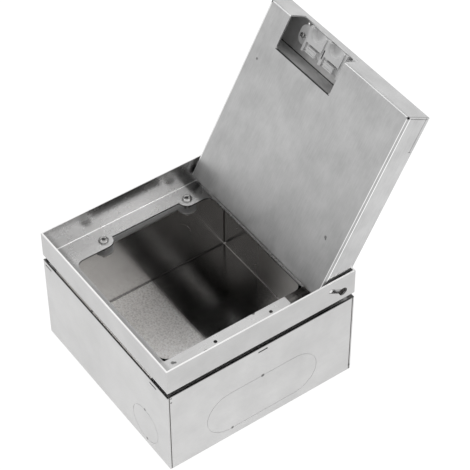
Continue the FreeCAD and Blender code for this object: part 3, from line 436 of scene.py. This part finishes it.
# ---------------------------------------------------------------- cover frame
# Folded from the same sheet, its walls closed and flush at the corners; the sheared rim and the
# folds carry painted highlights, and the flange beside the hinge a dark painted reflection.
frame_inner, rim_edge, fold_side = (0.09853, 0.0987), (0.13385, 0.13395), (0.0972, 0.0978)
flange_top, lower_edge, cut_face = (0.1056, 0.1062), (0.1042, 0.1049), (0.1051, 0.1054)
right_strip, front_strip, rear_strip = (0.066, 0.069), (-0.0845, -0.08), (0.0655, 0.067)
reflection_side, reflection_front = (0.0678, 0.0681), (0.0464, 0.0468)
fold_height, fold_half = 0.1061, 0.0006
frame_marks = (((0.0735, -0.0765, 0.1055), 0.0024), ((0.0745, -0.0745, 0.1055), 0.0016),
               ((0.068, 0.0125, 0.105), 0.0022), ((0.0984, 0.0655, 0.1255), 0.0012))
frame_inside_painted_shade, flange_front_painted_shade, flange_right_painted_light, flange_rear_painted_light = 0.16, 0.3, 0.22, 0.8
lower_edge_painted_shade, cut_painted_shade, fold_painted_highlight, rim_painted_highlight = 0.7, 0.8, 0.3, 0.34
reflection_darkness, reflection_even, reflection_cloud_gain, reflection_warmth = 0.9, 0.8, 0.2, 0.03
frame_rough, frame_inside_smoother = 0.32, 0.09

frame_steel, sheet, sheet_output = empty_material("frame_steel")
sheet_place = sheet.node("ShaderNodeTexCoord", out="Object")
across, along, upward = axes(sheet, sheet_place)
shade, patches, fine = cold_rolled(sheet, sheet_place, level=0.56)
wide = sheet.math("MAXIMUM", sheet.math("ABSOLUTE", across), sheet.math("ABSOLUTE", along))
within = 1 - between(sheet, wide, *frame_inner)
rim = between(sheet, upward, *rim_edge)
fold = within * line_at(sheet, upward, fold_height, fold_half) * between(sheet, wide, *fold_side)
flange = within * (1 - between(sheet, upward, *flange_top))
# painted light and shade: the flange brightest at the rear, darker in front, the inside darker;
# beside the hinge a painted reflection
right_part = between(sheet, across, *right_strip)
front_part = 1 - between(sheet, along, *front_strip)
# the dark patch on the flange beside the hinge is a painted reflection of the lid
hinge_reflection = (flange * between(sheet, across, *reflection_side)
        * between(sheet, along, *reflection_front))
reflection_clouds = clouds(sheet, stretched(sheet, sheet_place, (1, 4, 4)), scale=260)
shade = shade * (1 - frame_inside_painted_shade * within
                 + flange * (flange_right_painted_light * right_part - flange_front_painted_shade * front_part)
                 + flange_rear_painted_light * flange * between(sheet, along, *rear_strip))
# painted shade along the lower outer edge, in the gap over the back box
shade = shade * (1 - lower_edge_painted_shade * (1 - between(sheet, upward, *lower_edge))
                 * (1 - within))
# painted highlights on the folds and on the sheared rim
shade = (shade * (1 - reflection_darkness * hinge_reflection * (reflection_even + reflection_cloud_gain * reflection_clouds))
         + fold_painted_highlight * fold + rim_painted_highlight * rim)
shade = marked(sheet, shade, sheet_place, frame_marks, darker=0.7)
# painted shade on the cut edges round the window and on the underside of the flange
cut_edge = within * (1 - between(sheet, upward, *cut_face))
shade = shade * (1 - cut_painted_shade * cut_edge)
rough = frame_rough + patch_rough * patches - frame_inside_smoother * within
bare_metal(sheet, sheet_output, tone(sheet, shade, steel_warmth + reflection_warmth * hinge_reflection), rough,
           fine, depth=0.000008)
dress(frame_steel, "cover_frame")

# the window's right corners are cut nearly square, so a small gusset fills each rounding
gusset_round, gusset_left = 0.008, 0.0015
window_right, window_front, window_back = 0.068, -0.082, 0.066
flange_low, flange_high = 0.104, 0.1055
arc_points, inner_points = 13, 7
gussets = bmesh.new()
for corner_y, inward in ((window_front, 1), (window_back, -1)):
    centre = (window_right - gusset_round, corner_y + inward * gusset_round)
    small = (window_right - gusset_left, corner_y + inward * gusset_left)
    outline = []
    for i in range(arc_points):
        angle = math.radians(90 * i / (arc_points - 1))
        outline.append((centre[0] + gusset_round * math.cos(angle),
                        centre[1] - inward * gusset_round * math.sin(angle)))
    for i in range(inner_points):
        angle = math.radians(90 - 90 * i / (inner_points - 1))
        outline.append((small[0] + gusset_left * math.cos(angle),
                        small[1] - inward * gusset_left * math.sin(angle)))
    upper = [gussets.verts.new((x, y, flange_high)) for x, y in outline]
    lower = [gussets.verts.new((x, y, flange_low)) for x, y in outline]
    last, ratio = len(outline) - 1, (inner_points - 1) / (arc_points - 1)
    for ring in (upper, lower):
        for i in range(arc_points - 1):
            near_i = last - round(i * ratio)
            near_next = last - round((i + 1) * ratio)
            corner = [ring[i], ring[i + 1], ring[near_next]]
            if near_i != near_next:
                corner.append(ring[near_i])
            gussets.faces.new(corner)
    for i in range(len(outline)):
        after = (i + 1) % len(outline)
        gussets.faces.new((upper[i], upper[after], lower[after], lower[i]))
bmesh.ops.remove_doubles(gussets, verts=gussets.verts, dist=1e-6)
bmesh.ops.dissolve_degenerate(gussets, edges=gussets.edges, dist=1e-7)
bmesh.ops.recalc_face_normals(gussets, faces=gussets.faces)
window_corners = new_piece("window_corners", gussets, frame_steel)
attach(window_corners, "frame")


# ---------------------------------------------------------------- levelling screws and washers
# Zinc-plated M5 pan-head screws with a cross recess, their threads run through the press nuts;
# a round washer under the flange holds each of them in.
def turned(profile, steps=40):
    """A closed turned form round Z from (radius, height) points, top and bottom on the axis."""
    form = bmesh.new()
    rings = []
    for radius, height in profile[1:-1]:
        rings.append([form.verts.new((radius * math.cos(2 * math.pi * i / steps),
                                      radius * math.sin(2 * math.pi * i / steps), height))
                      for i in range(steps)])
    for upper, lower in zip(rings, rings[1:]):
        for i in range(steps):
            after = (i + 1) % steps
            form.faces.new((upper[i], lower[i], lower[after], upper[after]))
    top = form.verts.new((0, 0, profile[0][1]))
    foot = form.verts.new((0, 0, profile[-1][1]))
    for i in range(steps):
        after = (i + 1) % steps
        form.faces.new((top, rings[0][i], rings[0][after]))
        form.faces.new((foot, rings[-1][after], rings[-1][i]))
    return form


def cross_recess(form, span, arm, depth, top):
    """Cuts a cross with sloping ends into the top of a head; its slots narrow downwards."""
    top_thick, low_thick = arm / 2, arm / 2.6
    head = bpy.data.meshes.new("head")
    form.to_mesh(head)
    form.free()
    block = bpy.data.objects.new("head", head)
    bpy.context.scene.collection.objects.link(block)
    for quarter in (0, 1):
        cutter = bmesh.new()
        corners = []
        for reach, thick, height in ((span / 2, top_thick, top + span),
                                     (span / 2, top_thick, top), (arm, low_thick, top - depth)):
            for x, y in ((-1, -1), (1, -1), (1, 1), (-1, 1)):
                corners.append(cutter.verts.new((x * reach, y * thick, height)))
        for low in (0, 4):
            for i in range(4):
                after = (i + 1) % 4
                cutter.faces.new((corners[low + i], corners[low + 4 + i],
                                  corners[low + 4 + after], corners[low + after]))
        cutter.faces.new(corners[0:4])
        cutter.faces.new(corners[11:7:-1])
        bmesh.ops.recalc_face_normals(cutter, faces=cutter.faces)
        cutter.transform(Matrix.Rotation(quarter * math.pi / 2, 4, "Z"))
        blade = bpy.data.meshes.new("blade")
        cutter.to_mesh(blade)
        cutter.free()
        tool = bpy.data.objects.new("blade", blade)
        bpy.context.scene.collection.objects.link(tool)
        bite = block.modifiers.new("bite", "BOOLEAN")
        bite.operation = "DIFFERENCE"
        bite.solver = "EXACT"
        bite.object = tool
    bpy.context.view_layer.update()
    cut_head = block.evaluated_get(bpy.context.evaluated_depsgraph_get())
    done = bmesh.new()
    done.from_mesh(cut_head.to_mesh())
    cut_head.to_mesh_clear()
    for bite in list(block.modifiers):
        tool = bite.object
        block.modifiers.remove(bite)
        bpy.data.objects.remove(tool)
    bpy.data.objects.remove(block)
    return done


def thread(form, radius, pitch, top, foot, steps=20):
    """A screw thread wound down a shank, its crest at the radius."""
    thread_depth, root_half, crest_half = 0.6, 0.46, 0.06
    grip, core_over, core_under = 0.00002, 0.5, 0.3
    root = radius - thread_depth * pitch
    count = int((top - foot) / pitch * steps)
    rows = []
    for i in range(count + 1):
        angle = 2 * math.pi * i / steps
        height = top - (top - foot) * i / count
        row = []
        for out, rise in ((root, root_half), (radius, crest_half), (radius, -crest_half),
                          (root, -root_half)):
            row.append(form.verts.new((out * math.cos(angle), out * math.sin(angle),
                                       height + rise * pitch)))
        rows.append(row)
    for row, following in zip(rows, rows[1:]):
        for i in range(3):
            form.faces.new((row[i], row[i + 1], following[i + 1], following[i]))
    rings = [[form.verts.new(((root + grip) * math.cos(2 * math.pi * i / steps),
                              (root + grip) * math.sin(2 * math.pi * i / steps), height))
              for i in range(steps)]
             for height in (top + core_over * pitch, foot - core_under * pitch)]
    for i in range(steps):
        after = (i + 1) % steps
        form.faces.new((rings[0][i], rings[1][i], rings[1][after], rings[0][after]))
    form.faces.new(rings[1][::-1])
    form.faces.new(rings[0])


def add_screw(group, one, placing):
    """Puts a finished screw in its place in a group."""
    one.transform(placing)
    shape = bpy.data.meshes.new("one_screw")
    one.to_mesh(shape)
    one.free()
    group.from_mesh(shape)
    bpy.data.meshes.remove(shape)


head_low = 0.1055
screw_spots = [(x, y) for x in (-0.083, 0.083) for y in (-0.046, 0.046)]
recess_height, recess_shade_radius = 0.0012, 0.0028
first_turn, next_turn = 25, 50
# painted shade in the cross recess of each head
screw_plating = plated_steel("screw_plating", level=0.46, rough=0.18, recesses=[
    ((x, y, head_low + recess_height), recess_shade_radius) for x, y in screw_spots])
# radius and height of the head's outline, from its top to its seat
head_profile = [(0, 0.0022), (0.0026, 0.0022), (0.003, 0.0024), (0.0038, 0.0021),
                (0.0045, 0.0014), (0.00475, 0.0008), (0.00475, 0.0), (0.0024, 0.0), (0, 0.0)]
screws = bmesh.new()
for i, (x, y) in enumerate(screw_spots):
    one = cross_recess(turned(head_profile), span=0.0046, arm=0.00095, depth=0.0016, top=0.0024)
    thread(one, radius=0.0025, pitch=0.0008, top=-0.0004, foot=-0.0196)
    add_screw(screws, one, Matrix.Translation((x, y, head_low))
              @ Matrix.Rotation(math.radians(first_turn + next_turn * i), 4, "Z"))
levelling_screws = new_piece("levelling_screw_set", screws, screw_plating)
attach(levelling_screws, "frame")
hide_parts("levelling_screws")

dress(screw_plating, "screw_washers")

# ---------------------------------------------------------------- hinge
# Turned steel pins riveted in the lid, each in a pale moulded nylon bush that rides in the
# sloping slot of the cover frame.
pin_steel = plated_steel("pin_steel", level=0.78, rough=0.22, warmth=0.0)
dress(pin_steel, "hinge_pin_left", "hinge_pin_right")


def moulding(name, level, rough, warmth=0.0, shading=None):
    """Moulded plastic with a satin spark-eroded skin, slight clouding and the painted shade of its
    shading.
    """
    patch_gain, grain_gain, patch_matt, grain_depth = 0.05, 0.02, 0.08, 0.00001
    material, start, output = empty_material(name)
    place = start.node("ShaderNodeTexCoord", out="Object")
    patch = clouds(start, place, scale=120)
    fine = clouds(start, place, scale=2200, detail=1.0)
    shade = level + patch_gain * (patch - 0.5) + grain_gain * (fine - 0.5)
    if shading:
        shade = shade * shading(start, place)
    relief = start.node("ShaderNodeBump", {}, {"Height": fine, "Distance": grain_depth,
                                               "Strength": 1.0})
    surface = start.node("ShaderNodeBsdfPrincipled", {},
                         {"Base Color": tone(start, shade, warmth),
                          "Roughness": rough + patch_matt * (patch - 0.5), "Normal": relief})
    start.tree.links.new(surface.socket, output.inputs["Surface"])
    return material


bush_nylon = moulding("bush_nylon", level=0.74, rough=0.42, warmth=0.01)
dress(bush_nylon, "hinge_bush_left", "hinge_bush_right")

# ---------------------------------------------------------------- lid tray and bridge plate
# A shallow tray folded from sheet, brushed on its underside and notched at its free edge, and a
# Z of sheet across the notch that carries the cord outlet.
pin_place = Vector((0, 0.0731, 0.1237))
pin_from_rear, pin_above = 0.0113, 0.0089
to_free_edge = Vector((0, 0.481754, 0.876307))
into_tray = Vector((0, 0.876307, -0.481754))
lid_lean = math.radians(-28.8)


def lid_place(across, from_rear, above):
    """A place on the open lid from its closed one: along X, from the rear wall, above the skin."""
    return (Vector((across, 0, 0)) + pin_place + to_free_edge * (from_rear - pin_from_rear)
            + into_tray * (above - pin_above))


def lid_axes(start, place):
    """Distance from the rear wall and height above the skin, as on the closed lid."""
    found = []
    for direction, from_pin in ((to_free_edge, pin_from_rear), (into_tray, pin_above)):
        along_it = start.node("ShaderNodeVectorMath", {"operation": "DOT_PRODUCT"},
                              {0: place, 1: tuple(direction)}, out="Value")
        found.append(along_it + (from_pin - pin_place.dot(direction)))
    return found


def lid_marks(*marks):
    """Middles and radii of marks on the open lid, from their places on the closed one."""
    return [(tuple(lid_place(*middle)), radius) for middle, radius in marks]


def lid_block(left_right, rear_free, low_high):
    """A plain block on the open lid, from its two limits in each direction of the closed one."""
    form = bmesh.new()
    corners = [form.verts.new(lid_place(across, from_rear, above))
               for across in left_right for from_rear in rear_free for above in low_high]
    for face in ((0, 1, 3, 2), (4, 6, 7, 5), (0, 4, 5, 1), (2, 3, 7, 6), (0, 2, 6, 4),
                 (1, 5, 7, 3)):
        form.faces.new([corners[i] for i in face])
    bmesh.ops.recalc_face_normals(form, faces=form.faces)
    return form


def brushed(start, place, scale):
    """Grain that runs from the hinge to the free edge."""
    brush_length = 14
    drawn = stretched(start, place, (1, 1, brush_length), (lid_lean, 0, 0))
    return clouds(start, drawn, scale, detail=2.0, rough=0.7)


# each pair is where a part of the finish starts and where it is complete, in metres
side_face, free_face, tray_skin = (0.0961, 0.0964), (0.1896, 0.1899), (0.0011, 0.0014)
tray_side, skin_under, side_start = (0.0949, 0.0951), (0.0005, 0.001), (0.0958, 0.0961)
fold_stop, return_start, notch_under = (0.186, 0.189), (0.1545, 0.155), (0.0014, 0.0016)
skin_fold, side_fold, lid_fold_half, lid_fold_painted_highlight = 0.0945, 0.0019, 0.0005, 0.5
return_height, return_end, return_half, punch_half = 0.0224, 0.155, 0.0004, 0.0022
notch_line, notch_half, notch_middle, notch_reach = 0.1558, 0.0006, -0.0293, 0.0392
lid_level, lid_darkest, lid_patch_gain, lid_drift_gain, brush_gain = 0.46, 0.84, 0.2, 0.13, 0.06
side_wall_painted_light, free_wall_painted_shade, tray_painted_light = 0.24, 0.2, 0.4
lid_rough, lid_patch_rough, brush_rough = 0.3, 0.1, 0.06
return_darker, notch_edge_painted_shade = 0.6, 0.93
skin_marks = lid_marks(((0.0747, 0.052, 0), 0.0021), ((0.0757, 0.0505, 0), 0.0012),
                       ((-0.0827, 0.1358, 0), 0.0017), ((-0.0965, 0.168, 0), 0.002))

lid_sheet, skin, skin_output = empty_material("lid_sheet")
skin_place = skin.node("ShaderNodeTexCoord", out="Object")
across = skin.node("ShaderNodeSeparateXYZ", {}, {0: skin_place}, out=0)
from_rear, above = lid_axes(skin, skin_place)
aside = skin.math("ABSOLUTE", across)
patches = clouds(skin, skin_place, scale=42, detail=3.0, rough=0.6)
drift = clouds(skin, skin_place, scale=15, detail=2.0)
grain = brushed(skin, skin_place, scale=900)
shade = (lid_level * (lid_darkest + lid_patch_gain * patches + lid_drift_gain * drift)
         + brush_gain * (grain - 0.5))
side_wall = between(skin, aside, *side_face)
free_wall = between(skin, from_rear, *free_face)
in_tray = between(skin, above, *tray_skin) * (1 - between(skin, aside, *tray_side))
# painted light on the side walls and inside the tray, painted shade on the free wall
shade = shade * (1 + side_wall_painted_light * side_wall - free_wall_painted_shade * free_wall
                 + tray_painted_light * in_tray)
# painted highlights along the folds of the skin
fold_lines = (line_at(skin, aside, skin_fold, lid_fold_half)
              * (1 - between(skin, above, *skin_under))
              + line_at(skin, above, side_fold, lid_fold_half)
              * between(skin, aside, *side_start))
shade = shade + lid_fold_painted_highlight * fold_lines * (1 - between(skin, from_rear, *fold_stop))
# the return fold of the side wall shows as a fine line that ends in a punched mark
fine_line = side_wall * (line_at(skin, above, return_height, return_half)
                         * between(skin, from_rear, *return_start)
                         + line_at(skin, from_rear, return_end, return_half)
                         * line_at(skin, above, return_height, punch_half))
# painted shade along the cut edge of the notch
notch_edge = (line_at(skin, from_rear, notch_line, notch_half)
              * line_at(skin, across, notch_middle, notch_reach)
              * (1 - between(skin, above, *notch_under)))
shade = shade * (1 - return_darker * fine_line) * (1 - notch_edge_painted_shade * notch_edge)
shade = marked(skin, shade, skin_place, skin_marks, darker=0.6)
rough = lid_rough + lid_patch_rough * patches + brush_rough * grain
bare_metal(skin, skin_output, tone(skin, shade), rough, grain, depth=0.000008)
dress(lid_sheet, "lid_tray")

# the strip of rim beyond the notch is folded down in front of the cord exits
strip_left, strip_right = -0.068, 0.0094
strip_back, strip_skin = 0.18805, 0.19
strip_low, strip_high = 0.0185, 0.0238
edge_round, edge_reach = 0.0004, 0.0001
strip_form = lid_block((strip_left, strip_right), (strip_back, strip_skin),
                       (strip_low, strip_high))
low_edges = [edge for edge in strip_form.edges
             if all((v.co - pin_place).dot(into_tray) < strip_low - pin_above + edge_reach
                    for v in edge.verts)]
bmesh.ops.bevel(strip_form, geom=low_edges, offset=edge_round, segments=3, affect="EDGES")
rim_strip = new_piece("rim_strip", strip_form, lid_sheet)
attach(rim_strip, "lid")

foot_height, foot_half, foot_from_rear, foot_reach = 0.0032, 0.0005, 0.1543, 0.0014
flat_height, flat_half, flat_from_rear, flat_reach = 0.0222, 0.0008, 0.1556, 0.0007
flat_top, strip_start, strip_end = (0.0216, 0.0222), (0.1545, 0.1555), (0.1632, 0.164)
strip_across, strip_brighter, web_fold_painted_shade = (-0.075, -0.035), 0.3, 0.9
bridge_level, bridge_darkest, bridge_patch_gain = 0.5, 0.8, 0.25
bridge_rough, bridge_brush_rough = 0.6, 0.08
bridge_sheet, skin, skin_output = empty_material("bridge_sheet")
skin_place = skin.node("ShaderNodeTexCoord", out="Object")
across = skin.node("ShaderNodeSeparateXYZ", {}, {0: skin_place}, out=0)
from_rear, above = lid_axes(skin, skin_place)
patches = clouds(skin, skin_place, scale=60)
grain = brushed(skin, skin_place, scale=1200)
# painted shade in the folds at the foot and the head of the web
web_line = (line_at(skin, above, foot_height, foot_half)
            * line_at(skin, from_rear, foot_from_rear, foot_reach)
            + line_at(skin, above, flat_height, flat_half)
            * line_at(skin, from_rear, flat_from_rear, flat_reach))
shade = bridge_level * (bridge_darkest + bridge_patch_gain * patches)
shade = shade * (1 - web_fold_painted_shade * web_line)
# the strip beside the left end of the outlet is brighter
bright_strip = (between(skin, above, *flat_top) * between(skin, from_rear, *strip_start)
                * (1 - between(skin, from_rear, *strip_end))
                * between(skin, across, *strip_across))
shade = shade * (1 + strip_brighter * bright_strip)
bare_metal(skin, skin_output, tone(skin, shade, steel_warmth),
           bridge_rough + bridge_brush_rough * grain, grain, depth=0.00001)
dress(bridge_sheet, "lid_bridge_plate")

# ---------------------------------------------------------------- cord outlet and its screws
# One moulding in light grey plastic with a divider between its two channels, held by two small
# cross-recess screws through its ears.
divider_middle, divider_half, divider_from_rear, divider_reach = -0.0293, 0.0009, 0.1735, 0.0049
channel_floor, channel_end = (0.0186, 0.0194), (0.1725, 0.1745)
slot_painted_shade, channel_painted_shade = 0.85, 0.22


def divider_shading(start, place):
    """Painted shade in the slot of the divider and in the deep rear part of each channel."""
    across = start.node("ShaderNodeSeparateXYZ", {}, {0: place}, out=0)
    from_rear, above = lid_axes(start, place)
    slot = (line_at(start, across, divider_middle, divider_half)
            * line_at(start, from_rear, divider_from_rear, divider_reach))
    deep = between(start, above, *channel_floor) * (1 - between(start, from_rear, *channel_end))
    return (1 - slot_painted_shade * slot) * (1 - channel_painted_shade * deep)


outlet_plastic = moulding("outlet_plastic", level=0.76, rough=0.38, shading=divider_shading)
dress(outlet_plastic, "cord_outlet")

# the right ear runs out square to the free edge
ear_left, ear_right = 0.003, 0.00938
ear_front, ear_free = 0.1785, 0.1896
ear_low, ear_high = 0.0158, 0.0196
ear_form = lid_block((ear_left, ear_right), (ear_front, ear_free), (ear_low, ear_high))
bmesh.ops.bevel(ear_form, geom=list(ear_form.edges), offset=edge_round, segments=3,
                affect="EDGES")
outlet_ear = new_piece("outlet_ear", ear_form, outlet_plastic)
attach(outlet_ear, "lid")

fixing_profile = [(0, 0.0015), (0.001, 0.0015), (0.0018, 0.00138), (0.0024, 0.00108),
                  (0.00272, 0.0007), (0.0028, 0.0003), (0.0028, 0.0), (0.0014, 0.0), (0, 0.0)]
# where each head seats in the counterbore of its ear, and how far the heads are turned
fixing_seat, fixing_from_rear = 0.0207, 0.1735
fixing_turn, fixing_spread = 0.5, 9
ear_holes = (-0.0636, 0.005)
lid_turn = Matrix((Vector((1, 0, 0)), to_free_edge, -into_tray)).transposed().to_4x4()
fixings = bmesh.new()
for across in ear_holes:
    one = cross_recess(turned(fixing_profile, steps=32), span=0.0028, arm=0.0006, depth=0.001,
                       top=0.0015)
    thread(one, radius=0.0015, pitch=0.0005, top=-0.0003, foot=-0.0048, steps=16)
    add_screw(fixings, one, Matrix.Translation(lid_place(across, fixing_from_rear, fixing_seat))
              @ lid_turn @ Matrix.Rotation(fixing_turn + across * fixing_spread, 4, "Z"))
fixing_plating = plated_steel("fixing_plating", level=0.3, rough=0.25)
outlet_screws = new_piece("outlet_screw_set", fixings, fixing_plating)
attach(outlet_screws, "lid")
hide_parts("outlet_screws")

# ---------------------------------------------------------------- cord shutters
# Two slides moulded in the same plastic, each with a scooped block and a ribbed thumb pad; their
# tongues run in the grooves of the outlet.
grip_from_rear, grip_half, grip_reach, grip_painted_shade = 0.1723, 0.0009, 0.0068, 0.85
scoop_shift, scoop_from_rear, scoop_above, scoop_radius = 0.0035, 0.1855, 0.0165, 0.0088
shutter_middles, scoop_painted_shade = (-0.0418, -0.0168), 0.3


def shutter_shading(start, place):
    """Painted shade in the grip slots and inside each scoop."""
    across = start.node("ShaderNodeSeparateXYZ", {}, {0: place}, out=0)
    from_rear, above = lid_axes(start, place)
    shading = 1
    for middle in shutter_middles:
        slot = (line_at(start, from_rear, grip_from_rear, grip_half)
                * line_at(start, across, middle, grip_reach))
        scoop_place = lid_place(middle - scoop_shift, scoop_from_rear, scoop_above)
        scoop = spot(start, place, tuple(scoop_place), scoop_radius)
        shading = shading * (1 - grip_painted_shade * slot) * (1 - scoop_painted_shade * scoop)
    return shading


shutter_plastic = moulding("shutter_plastic", level=0.78, rough=0.36, shading=shutter_shading)
dress(shutter_plastic, "cord_shutter_left", "cord_shutter_right")
